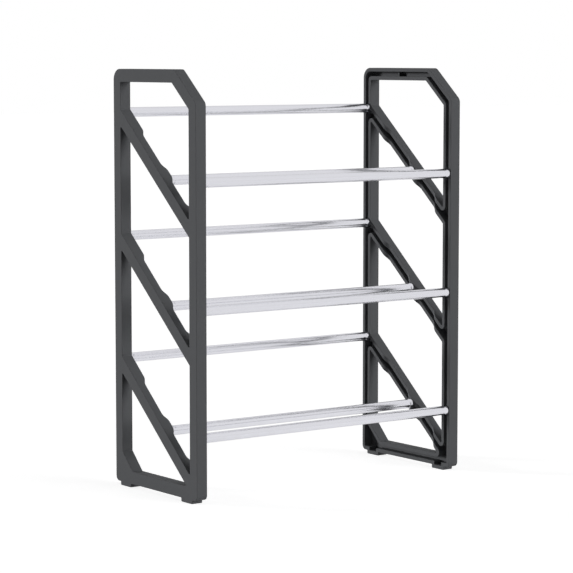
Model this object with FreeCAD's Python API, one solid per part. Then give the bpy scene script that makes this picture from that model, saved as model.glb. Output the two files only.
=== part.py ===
import FreeCAD, Part
import math
import os

# Freestanding shoe rack: two moulded end frames joined by nine steel tubes.
# Millimetres. X runs along the tubes, +Y is the back and Z is up. The origin lies on the
# floor, midway between the end frames and midway from front to back.

# Overall size.
rack_width = 500.0
rack_depth = 222.0
rack_height = 637.0

# End frame moulding. Every bar is a channel with its mouth towards the other frame:
# a thin outer web and two walls with a groove between them.
frame_thickness = 18.0
bar_width = 19.0
top_bar_height = 19.6
wall = 6.0
web = 3.0

# Corners of the end frame in side view.
front_bevel_run = 56.6
back_top_radius = 16.5
bevel_radius = 10.0
bottom_radius = 8.0
window_radius = 1.4
gusset_leg = 28.0
pocket_radius = 1.0
outer_edge_radius = 0.6
rim_edge_radius = 0.5

# Feet moulded under the bottom bar, near its two ends.
foot_height = 5.8
foot_length = 29.2
foot_inset = 13.0
foot_radius = 2.0

# Tiers: diagonals that fall from the back post to the front post. The top one hangs a set
# drop below the frame's top, the lowest one meets the bottom bar a little behind the front.
tier_names = ("top", "centre", "bottom")
tier_slope = 40.6
top_tier_drop = 61.2
lowest_tip_from_front = 27.8

# Chrome-plated tubes and the sockets they push into. A tube swells near each of its ends, up a
# gentle ramp to a rounded bead that stops it against the end frame.
tube_diameter = 14.8
tube_wall = 0.8
bead_height = 0.9
bead_width = 6.5
bead_ramp = 4.0
bead_ramp_round = 12.0
bead_end_round = 0.7
middle_tube_forward = 13.5
radial_clearance = 0.1
end_clearance = 0.2
socket_wall = 1.8
post_boss_height = 8.0

# The diagonals' walls are lower between their ends and the middle socket. The full height
# that is left is measured in depth, from the posts and from the middle tube's axis.
relief_depth = 5.4
relief_ramp = 8.0
relief_round = 10.0
full_height_at_back = 36.0
full_height_at_front = 19.0
pad_behind_tube = 4.5
pad_before_tube = 9.0

# One low stiffening rib across the top bar's groove.
rib_thickness = 2.5
rib_height = 8.0
rib_back_of_centre = 28.0

# How far a cutting shape reaches past the material it cuts.
overrun = 1.0

# Derived places.
half_depth = rack_depth / 2
back_window_y = half_depth - bar_width
front_window_y = -back_window_y
post_axis_y = half_depth - bar_width / 2
slope = math.tan(math.radians(tier_slope))
across_to_upright = 1 / math.cos(math.radians(tier_slope))
bar_upright = bar_width * across_to_upright
bottom_bar_top = foot_height + bar_width
top_bar_underside = rack_height - top_bar_height
lowest_tip_y = lowest_tip_from_front - half_depth
top_tier_level = rack_height - top_tier_drop
lowest_tier_level = bottom_bar_top + (back_window_y - lowest_tip_y) * slope + bar_upright
tier_pitch = (top_tier_level - lowest_tier_level) / (len(tier_names) - 1)
tube_radius = tube_diameter / 2
socket_radius = tube_radius + radial_clearance
bore_radius = tube_radius - tube_wall
tube_end_x = rack_width / 2 - web - end_clearance
bead_outer_x = rack_width / 2 - frame_thickness - end_clearance
bead_inner_x = bead_outer_x - bead_width


def diagonal_top(tier, y):
    """Height of a diagonal's upper edge at depth y."""
    return top_tier_level - tier * tier_pitch - (back_window_y - y) * slope


def diagonal_underside(tier, y):
    return diagonal_top(tier, y) - bar_upright


def diagonal_axis(tier, y):
    return diagonal_top(tier, y) - bar_upright / 2


def side_point(y, z):
    return FreeCAD.Vector(0, y, z)


def plan_point(x, y):
    return FreeCAD.Vector(x, y, 0)


def direction(start, end):
    length = math.hypot(end[0] - start[0], end[1] - start[1])
    return (end[0] - start[0]) / length, (end[1] - start[1]) / length


def rounded_wire(points, radii, place):
    """Closed wire with straight sides and a tangent arc of the given radius at each corner."""
    arcs = []
    for index, corner in enumerate(points):
        before = direction(corner, points[index - 1])
        after = direction(corner, points[(index + 1) % len(points)])
        cosine = before[0] * after[0] + before[1] * after[1]
        half_angle = math.acos(max(-1.0, min(1.0, cosine))) / 2
        reach = radii[index] / math.tan(half_angle)
        to_arc = radii[index] / math.sin(half_angle) - radii[index]
        middle = direction((0, 0), (before[0] + after[0], before[1] + after[1]))
        start = place(corner[0] + before[0] * reach, corner[1] + before[1] * reach)
        crest = place(corner[0] + middle[0] * to_arc, corner[1] + middle[1] * to_arc)
        end = place(corner[0] + after[0] * reach, corner[1] + after[1] * reach)
        arcs.append((start, crest, end))
    edges = []
    for index, (start, crest, end) in enumerate(arcs):
        edges.append(Part.makeLine(arcs[index - 1][2], start))
        if (end - start).Length > 0:
            edges.append(Part.Arc(start, crest, end).toShape())
    return Part.Wire(edges)


def side_prism(points, radii, x_from, x_to):
    """Solid with the given side view, running from x_from to x_to."""
    face = Part.Face(rounded_wire(points, radii, side_point))
    face.translate(FreeCAD.Vector(x_from, 0, 0))
    return face.extrude(FreeCAD.Vector(x_to - x_from, 0, 0))


def inset(points, distance):
    """Corners of a counter-clockwise outline with every side moved inwards."""
    sides = []
    for index, corner in enumerate(points):
        along = direction(corner, points[(index + 1) % len(points)])
        moved = (corner[0] - along[1] * distance, corner[1] + along[0] * distance)
        sides.append((moved, along))
    corners = []
    for index, (point, along) in enumerate(sides):
        other, other_along = sides[index - 1]
        cross = other_along[0] * along[1] - other_along[1] * along[0]
        gap = (point[0] - other[0], point[1] - other[1])
        step = (gap[0] * along[1] - gap[1] * along[0]) / cross
        corners.append((other[0] + other_along[0] * step, other[1] + other_along[1] * step))
    return corners


# Outline of the end frame, counter-clockwise from its lower front corner: each row holds a
# corner's depth and height, its radius outside and the radius of the groove inside it.
foot_outer_y = half_depth - foot_inset
foot_inner_y = foot_outer_y - foot_length
outline_rows = [
    (-half_depth, foot_height, bottom_radius, bottom_radius - wall),
    (-foot_outer_y, foot_height, pocket_radius, pocket_radius),
    (-foot_outer_y, 0, foot_radius, pocket_radius),
    (-foot_inner_y, 0, foot_radius, pocket_radius),
    (-foot_inner_y, foot_height, pocket_radius, pocket_radius),
    (foot_inner_y, foot_height, pocket_radius, pocket_radius),
    (foot_inner_y, 0, foot_radius, pocket_radius),
    (foot_outer_y, 0, foot_radius, pocket_radius),
    (foot_outer_y, foot_height, pocket_radius, pocket_radius),
    (half_depth, foot_height, bottom_radius, bottom_radius - wall),
    (half_depth, rack_height, back_top_radius, back_top_radius - wall),
    (front_bevel_run - half_depth, rack_height, bevel_radius, bevel_radius - wall),
    (-half_depth, rack_height - front_bevel_run * slope, bevel_radius, bevel_radius - wall),
]
outline = [row[:2] for row in outline_rows]
outline_radii = [row[2] for row in outline_rows]
groove_radii = [row[3] for row in outline_rows]

# Windows, counter-clockwise. The top one keeps a bar's width below the sloping front corner.
bevel_underside_at_front = rack_height - front_bevel_run * slope + bar_width * slope - bar_upright
bevel_underside_y = front_window_y + (top_bar_underside - bevel_underside_at_front) / slope
windows = [
    [
        (front_window_y, diagonal_top(0, front_window_y)),
        (back_window_y, diagonal_top(0, back_window_y)),
        (back_window_y, top_bar_underside),
        (bevel_underside_y, top_bar_underside),
        (front_window_y, bevel_underside_at_front),
    ]
]
for tier in range(1, len(tier_names)):
    windows.append(
        [
            (front_window_y, diagonal_top(tier, front_window_y)),
            (back_window_y, diagonal_top(tier, back_window_y)),
            (back_window_y, diagonal_underside(tier - 1, back_window_y)),
            (front_window_y, diagonal_underside(tier - 1, front_window_y)),
        ]
    )
last = len(tier_names) - 1
windows.append(
    [
        (lowest_tip_y, bottom_bar_top),
        (back_window_y - gusset_leg, bottom_bar_top),
        (back_window_y, bottom_bar_top + gusset_leg),
        (back_window_y, diagonal_underside(last, back_window_y)),
    ]
)

# Plain moulding: outline less windows, outer edges eased, then the grooves from the inside.
frame = side_prism(outline, outline_radii, 0, frame_thickness)
grooves = side_prism(inset(outline, wall), groove_radii, web, frame_thickness + overrun)
for window in windows:
    sharp = [window_radius] * len(window)
    frame = frame.cut(side_prism(window, sharp, -overrun, frame_thickness + overrun))
    walled = [window_radius + wall] * len(window)
    grooves = grooves.cut(side_prism(inset(window, -wall), walled, 0, frame_thickness + 2 * overrun))
outer_edges = [edge for edge in frame.Edges if edge.BoundBox.XMax < frame_thickness / 2]
frame = frame.makeFillet(outer_edge_radius, outer_edges)
frame = frame.cut(grooves)


def relief_cutter(tier, back_end, front_end):
    """Shape that lowers one diagonal's walls between two depths, easing in and out of the cut."""
    rim = frame_thickness
    floor = rim - relief_depth
    above = rim + relief_depth
    corners = [
        (above, front_end - relief_round),
        (above, back_end + relief_round),
        (rim, back_end + relief_round),
        (rim, back_end),
        (floor, back_end - relief_ramp),
        (floor, front_end + relief_ramp),
        (rim, front_end),
        (rim, front_end - relief_round),
    ]
    radii = [0, 0, 0, relief_round, relief_round, relief_round, relief_round, 0]
    plan = Part.Face(rounded_wire(corners, radii, plan_point))
    tall = plan.extrude(FreeCAD.Vector(0, 0, rack_height))
    band = [
        (front_end - relief_round, diagonal_underside(tier, front_end - relief_round) - overrun),
        (back_end + relief_round, diagonal_underside(tier, back_end + relief_round) - overrun),
        (back_end + relief_round, diagonal_top(tier, back_end + relief_round) + overrun),
        (front_end - relief_round, diagonal_top(tier, front_end - relief_round) + overrun),
    ]
    return tall.common(side_prism(band, [0] * len(band), 0, 2 * frame_thickness))


def along_x(radius, x_from, x_to, y, z):
    return Part.makeCylinder(radius, x_to - x_from, FreeCAD.Vector(x_from, y, z), FreeCAD.Vector(1, 0, 0))


# Tube axes, three to a tier. The middle tube sits in the diagonal and the front tube level with it.
middle_tube_y = -middle_tube_forward
tube_axes = []
for tier, tier_name in enumerate(tier_names):
    level = diagonal_axis(tier, middle_tube_y)
    tube_axes.append((tier_name + "_back_tube", post_axis_y, diagonal_axis(tier, post_axis_y)))
    tube_axes.append((tier_name + "_middle_tube", middle_tube_y, level))
    tube_axes.append((tier_name + "_front_tube", -post_axis_y, level))

back_span = (back_window_y - full_height_at_back, middle_tube_y + pad_behind_tube)
front_span = (middle_tube_y - pad_before_tube, front_window_y + full_height_at_front)
for tier in range(len(tier_names)):
    frame = frame.cut(relief_cutter(tier, *back_span))
    frame = frame.cut(relief_cutter(tier, *front_span))
frame = frame.removeSplitter()

# The walls' free edges are softened, along the ramps and the lowered spans too.
rim_from = frame_thickness - relief_depth - rim_edge_radius / 2
rim_edges = [edge for edge in frame.Edges if edge.BoundBox.XMin > rim_from]
frame = frame.makeFillet(rim_edge_radius, rim_edges)

# Sockets: full height in the diagonals, low in the posts where the walls themselves hold the tube.
for name, y, z in tube_axes:
    boss_top = frame_thickness if "middle" in name else web + post_boss_height
    frame = frame.fuse(along_x(socket_radius + socket_wall, web / 2, boss_top, y, z))
rib = Part.makeBox(
    web / 2 + rib_height,
    rib_thickness,
    top_bar_height - wall,
    FreeCAD.Vector(web / 2, rib_back_of_centre - rib_thickness / 2, top_bar_underside + wall / 2),
)
frame = frame.fuse(rib)
for name, y, z in tube_axes:
    frame = frame.cut(along_x(socket_radius, web, frame_thickness + overrun, y, z))
frame = frame.removeSplitter()
frame = frame.Solids[0]

os.makedirs("parts", exist_ok=True)
left_end_frame = frame.translated(FreeCAD.Vector(-rack_width / 2, 0, 0))
left_end_frame.exportStep("parts/left_end_frame.step")
right_end_frame = left_end_frame.mirror(FreeCAD.Vector(0, 0, 0), FreeCAD.Vector(1, 0, 0))
right_end_frame.exportStep("parts/right_end_frame.step")

# Every tube is one section through its wall and beads, turned round its axis. Each row holds a
# corner's place along the tube, its radius from the axis and the radius that rounds it.
bead_crest = tube_radius + bead_height
right_half = [
    (bead_inner_x, tube_radius, bead_ramp_round),
    (bead_inner_x + bead_ramp, bead_crest, bead_ramp_round),
    (bead_outer_x, bead_crest, bead_end_round),
    (bead_outer_x, tube_radius, 0),
    (tube_end_x, tube_radius, 0),
    (tube_end_x, bore_radius, 0),
]
left_half = [(-x, radius, rounding) for x, radius, rounding in reversed(right_half)]
section_rows = right_half + left_half
section = rounded_wire([row[:2] for row in section_rows], [row[2] for row in section_rows], plan_point)
tube = Part.Face(section).revolve(FreeCAD.Vector(0, 0, 0), FreeCAD.Vector(1, 0, 0), 360)
for name, y, z in tube_axes:
    tube.translated(FreeCAD.Vector(0, y, z)).exportStep("parts/" + name + ".step")
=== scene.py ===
# %% [markdown]
# # A freestanding shoe rack in the studio
# The rack is two moulded end frames joined by nine chrome-plated tubes. Its shapes were drawn
# as solids beforehand, so this lesson loads those solids as they are and spends its effort on
# what the eye reads next: the two finishes, the light that shows them, and the viewpoint.
# Everything is in metres, with Z up and the front of the rack towards -Y.

# %% Load the solids
import math

import bpy
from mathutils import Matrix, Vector

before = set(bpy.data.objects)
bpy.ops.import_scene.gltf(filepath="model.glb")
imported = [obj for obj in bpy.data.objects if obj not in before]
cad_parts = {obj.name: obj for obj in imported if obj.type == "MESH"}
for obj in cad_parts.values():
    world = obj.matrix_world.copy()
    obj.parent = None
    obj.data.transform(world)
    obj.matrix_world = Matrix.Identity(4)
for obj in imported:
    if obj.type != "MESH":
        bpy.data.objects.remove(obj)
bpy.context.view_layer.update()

print("solids:", ", ".join(sorted(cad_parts)))

# %% [markdown]
# ## Two small helpers
# Colours are easiest to pick as the hex values of a paint program, but a shader works with
# linear light, so one function converts them. Node trees are long to write out, so a second
# function adds one node, sets its values and joins it to the nodes before it.

# %% Colour and node helpers
def linear(hex_colour):
    """An sRGB hex colour as linear red, green, blue and alpha."""
    channels = [int(hex_colour[place:place + 2], 16) / 255 for place in (1, 3, 5)]
    return [c / 12.92 if c <= 0.04045 else ((c + 0.055) / 1.055) ** 2.4 for c in channels] + [1.0]


def add_node(tree, kind, links=None, values=None, **settings):
    """Adds a node: settings are its properties, values its sockets and links its inputs."""
    node = tree.nodes.new(kind)
    for name, value in settings.items():
        setattr(node, name, value)
    for name, value in (values or {}).items():
        node.inputs[name].default_value = value
    for name, source in (links or {}).items():
        tree.links.new(source, node.inputs[name])
    return node


def new_material(name):
    """An empty node material and its tree."""
    material = bpy.data.materials.new(name)
    material.use_nodes = True
    material.node_tree.nodes.clear()
    return material, material.node_tree


MM = 0.001
print("mid grey #808080 is", round(linear("#808080")[0], 3), "in linear light")

# %% [markdown]
# ## The end frames' plastic
# The frames are dark grey polypropylene, injection moulded in a steel mould whose cavity was
# spark eroded. That leaves a fine matt grain all over, faint cloudy patches where the melt
# flowed and cooled, and slightly shinier and duller areas. A photograph of plastic wrapped
# round the frames would stretch in the grooves, so the finish is made of noise read straight
# from the object's own coordinates, which runs through every wall and corner without a seam.
# The grain also traps most of the mirror-like reflection, so the surface is rough and its
# specular level is a quarter of a smooth plastic's: grooves and flat tops stay dark.

# %% Moulded polypropylene
GRAIN_MM = 1.1        # the real grain is about a third of this, too fine to show at this distance
FLOW_CLOUD_MM = 70.0  # size of the cloudy patches left by the flowing melt
CLOUD_NOISE = {"Scale": 1 / (FLOW_CLOUD_MM * MM), "Detail": 3.0, "Roughness": 0.55}
GRAIN_NOISE = {"Scale": 1 / (GRAIN_MM * MM), "Detail": 2.0, "Roughness": 0.6}
GRAIN_BUMP = {"Strength": 0.35, "Distance": 0.03 * MM}
NOISE_MIDDLE = {"From Min": 0.3, "From Max": 0.7}   # most of a noise's values lie in here
PLASTIC_DARK = "#505153"
PLASTIC_LIGHT = "#58595b"
PLASTIC_ROUGHNESS = {"To Min": 0.64, "To Max": 0.76}
PLASTIC_SHINE = {"IOR": 1.49, "Metallic": 0.0, "Specular IOR Level": 0.125}

polypropylene, tree = new_material("moulded_polypropylene_dark_grey")
place = add_node(tree, "ShaderNodeTexCoord").outputs["Object"]
clouds = add_node(tree, "ShaderNodeTexNoise", {"Vector": place}, CLOUD_NOISE)
grain = add_node(tree, "ShaderNodeTexNoise", {"Vector": place}, GRAIN_NOISE)
tint = add_node(tree, "ShaderNodeMix", {"Factor": clouds.outputs["Fac"]}, data_type="RGBA")
tint.inputs["A"].default_value = linear(PLASTIC_DARK)
tint.inputs["B"].default_value = linear(PLASTIC_LIGHT)
sheen_spread = add_node(tree, "ShaderNodeMapRange", {"Value": clouds.outputs["Fac"]},
                        {**NOISE_MIDDLE, **PLASTIC_ROUGHNESS})
relief = add_node(tree, "ShaderNodeBump", {"Height": grain.outputs["Fac"]}, GRAIN_BUMP)
surface = add_node(tree, "ShaderNodeBsdfPrincipled",
                   {"Base Color": tint.outputs["Result"],
                    "Roughness": sheen_spread.outputs["Result"],
                    "Normal": relief.outputs["Normal"]},
                   PLASTIC_SHINE)
add_node(tree, "ShaderNodeOutputMaterial", {"Surface": surface.outputs["BSDF"]})
print("plastic:", polypropylene.name, "with", len(tree.nodes), "nodes")

# %% [markdown]
# ## The tubes' chrome
# Each rail is a length of thin drawn steel tube, polished and plated with bright chrome. What
# makes it read as chrome is the reflection of the white studio, broken by faint lines along
# the tube that drawing and polishing leave. The lines could be modelled, but they are far
# thinner than a hair, so noise stretched along X blurs the reflection a little more in some
# lines than in others and waves it very slightly.

# %% Bright chrome plate
LINE_WIDTH_MM = 1.2   # drawn wider than real polishing lines, which would not show
LINE_LENGTH_MM = 160.0
LINE_NOISE = {"Scale": 1.0, "Detail": 2.0, "Roughness": 0.5}
LINE_BUMP = {"Strength": 0.2, "Distance": 0.01 * MM}
CHROME_ROUGHNESS = {"To Min": 0.18, "To Max": 0.26}
CHROME_DULL = "#d6d6dc"
CHROME_BRIGHT = "#dedee4"
CHROME_EDGE = "#dedede"   # grazing rays come back a little darker than a perfect mirror's

chrome, tree = new_material("bright_chrome_plated_steel")
place = add_node(tree, "ShaderNodeTexCoord").outputs["Object"]
lines_across = 1 / (LINE_WIDTH_MM * MM)
lines_per_metre = (1 / (LINE_LENGTH_MM * MM), lines_across, lines_across)
drawn = add_node(tree, "ShaderNodeMapping", {"Vector": place}, {"Scale": lines_per_metre})
lines = add_node(tree, "ShaderNodeTexNoise", {"Vector": drawn.outputs["Vector"]}, LINE_NOISE)
tint = add_node(tree, "ShaderNodeMix", {"Factor": lines.outputs["Fac"]}, data_type="RGBA")
tint.inputs["A"].default_value = linear(CHROME_DULL)
tint.inputs["B"].default_value = linear(CHROME_BRIGHT)
blur = add_node(tree, "ShaderNodeMapRange", {"Value": lines.outputs["Fac"]},
                {**NOISE_MIDDLE, **CHROME_ROUGHNESS})
waves = add_node(tree, "ShaderNodeBump", {"Height": lines.outputs["Fac"]}, LINE_BUMP)
surface = add_node(tree, "ShaderNodeBsdfPrincipled",
                   {"Base Color": tint.outputs["Result"], "Roughness": blur.outputs["Result"],
                    "Normal": waves.outputs["Normal"]},
                   {"Metallic": 1.0, "Specular Tint": linear(CHROME_EDGE)})
add_node(tree, "ShaderNodeOutputMaterial", {"Surface": surface.outputs["BSDF"]})
print("chrome:", chrome.name, "with", len(tree.nodes), "nodes")

# %% [markdown]
# ## Giving the solids their finishes
# A solid's mesh is right already, so nothing is modelled over it. Its material slot simply
# takes the new finish: the tubes by their names, and the two end frames as what is left.

# %% Assign finishes
for name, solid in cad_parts.items():
    finish = chrome if name.endswith("_tube") else polypropylene
    solid.data.materials.clear()
    solid.data.materials.append(finish)
    print(name, "is", finish.name)

# %% [markdown]
# ## A white floor
# The rack stands on plain pale paper, which throws little light back up into the grooves. Lit
# like the rack it would come out grey, and more lamps would burn out the rack, so a glow is
# added for the rays that the camera and the chrome send. Light Path tells those rays from the
# ones that carry light about, so the glow is seen without lighting the rack. Where the rack
# keeps the lamps off the paper it still darkens.

# %% Rays that look
def looking_rays(tree):
    """A socket that is 1 for rays from the camera, a reflection or a clear piece, else 0."""
    ray = add_node(tree, "ShaderNodeLightPath").outputs
    direct = add_node(tree, "ShaderNodeMath", operation="MAXIMUM")
    tree.links.new(ray["Is Camera Ray"], direct.inputs[0])
    tree.links.new(ray["Is Glossy Ray"], direct.inputs[1])
    either = add_node(tree, "ShaderNodeMath", operation="MAXIMUM")
    tree.links.new(direct.outputs[0], either.inputs[0])
    tree.links.new(ray["Is Transmission Ray"], either.inputs[1])
    return either.outputs[0]


# %% Paper floor
FLOOR_SIZE = 40.0
WHITE = "#ffffff"
PAPER = "#bcbcbc"
PAPER_GLOW = 0.82

bpy.ops.mesh.primitive_plane_add(size=FLOOR_SIZE)
floor = bpy.context.object
floor.name = "paper_floor"
paper, tree = new_material("pale_paper")
glow = add_node(tree, "ShaderNodeMath", operation="MULTIPLY")
tree.links.new(looking_rays(tree), glow.inputs[0])
glow.inputs[1].default_value = PAPER_GLOW
matt = add_node(tree, "ShaderNodeBsdfDiffuse", values={"Color": linear(PAPER)})
light = add_node(tree, "ShaderNodeEmission", {"Strength": glow.outputs[0]},
                 {"Color": linear(WHITE)})
both = add_node(tree, "ShaderNodeAddShader")
tree.links.new(matt.outputs[0], both.inputs[0])
tree.links.new(light.outputs[0], both.inputs[1])
add_node(tree, "ShaderNodeOutputMaterial", {"Surface": both.outputs[0]})
floor.data.materials.append(paper)
print("floor:", FLOOR_SIZE, "m of", paper.name)

# %% [markdown]
# ## The white room
# A little soft light from everywhere keeps the deepest grooves from going pure black, and the
# chrome needs something white to mirror. The world does both, with one dim background for the
# light it sheds and a pure white one for the rays that look at it.

# %% World
ROOM_LIGHT = 0.04
ROOM_SEEN = 1.0   # pure white in the picture

world = bpy.data.worlds.new("white_room")
bpy.context.scene.world = world
world.use_nodes = True
tree = world.node_tree
tree.nodes.clear()
shed = add_node(tree, "ShaderNodeBackground",
                values={"Color": linear(WHITE), "Strength": ROOM_LIGHT})
white = add_node(tree, "ShaderNodeBackground",
                 values={"Color": linear(WHITE), "Strength": ROOM_SEEN})
chosen = add_node(tree, "ShaderNodeMixShader", {"Fac": looking_rays(tree)})
tree.links.new(shed.outputs[0], chosen.inputs[1])
tree.links.new(white.outputs[0], chosen.inputs[2])
add_node(tree, "ShaderNodeOutputWorld", {"Surface": chosen.outputs[0]})
print("room light", ROOM_LIGHT)

# %% [markdown]
# ## Three soft lamps
# In a catalogue picture the faces to the left and to the right of a corner are nearly the same
# grey and there is hardly a shadow. Big soft boxes near the rack could give that, but their
# light fades along the floor, which then turns grey behind the rack. A sun lamp with a wide
# angle is as soft as a big box and lights near and far alike, so three of those are used. The
# front lamp stands to the right and the left lamp a little behind. Between them they light
# every outer face, while the groove walls that the camera sees in the far frame stay dark. All
# are kept out of reflections, because the chrome should mirror the white room and not a lamp.

# %% Lamps
SOFT_LAMPS = {   # direction the light runs, angle across in degrees, strength
    "front_lamp": ((-0.5, 1.0, -0.12), 44.0, 3.68),
    "left_lamp": ((0.64, -0.77, -0.12), 12.0, 3.4),
    "overhead_lamp": ((0.1, 0.1, -1.0), 40.0, 0.3),
}

for name, (runs, across, strength) in SOFT_LAMPS.items():
    lamp = bpy.data.lights.new(name, "SUN")
    lamp.angle = math.radians(across)
    lamp.energy = strength
    holder = bpy.data.objects.new(name, lamp)
    holder.rotation_euler = Vector(runs).to_track_quat("-Z", "Y").to_euler()
    holder.visible_glossy = False
    bpy.context.scene.collection.objects.link(holder)
    print(name, "is", across, "degrees across, strength", strength)

# %% [markdown]
# ## The viewpoint
# The picture is taken from the left front, almost level with the rack's top and far off, so
# the tubes run nearly level and the two end frames look almost the same size. A long lens
# from the same spot gives the same lines; a short lens close by would splay the posts.

# %% Camera
CAMERA_PLACE = (-2.1381, -2.9055, 0.6574)
CAMERA_TURN = -36.271   # degrees to the right of straight ahead, about Z
CAMERA_TILT = 5.664     # degrees below level
LENS_PIXELS = 2331.8    # focal length in pixels of a picture 573 wide
PICTURE_WIDTH = 573
SENSOR_MM = 36.0
FAR_CLIP = 100.0        # metres, past the floor's far edge

lens = bpy.data.cameras.new("studio_camera")
lens.sensor_width = SENSOR_MM
lens.lens = SENSOR_MM * LENS_PIXELS / PICTURE_WIDTH
lens.clip_end = FAR_CLIP
camera = bpy.data.objects.new("studio_camera", lens)
camera.location = CAMERA_PLACE
camera.rotation_euler = (math.radians(90 - CAMERA_TILT), 0.0, math.radians(CAMERA_TURN))
bpy.context.scene.collection.objects.link(camera)
bpy.context.scene.camera = camera
bpy.context.scene.view_settings.view_transform = "Standard"
print("lens", round(lens.lens, 1), "mm")
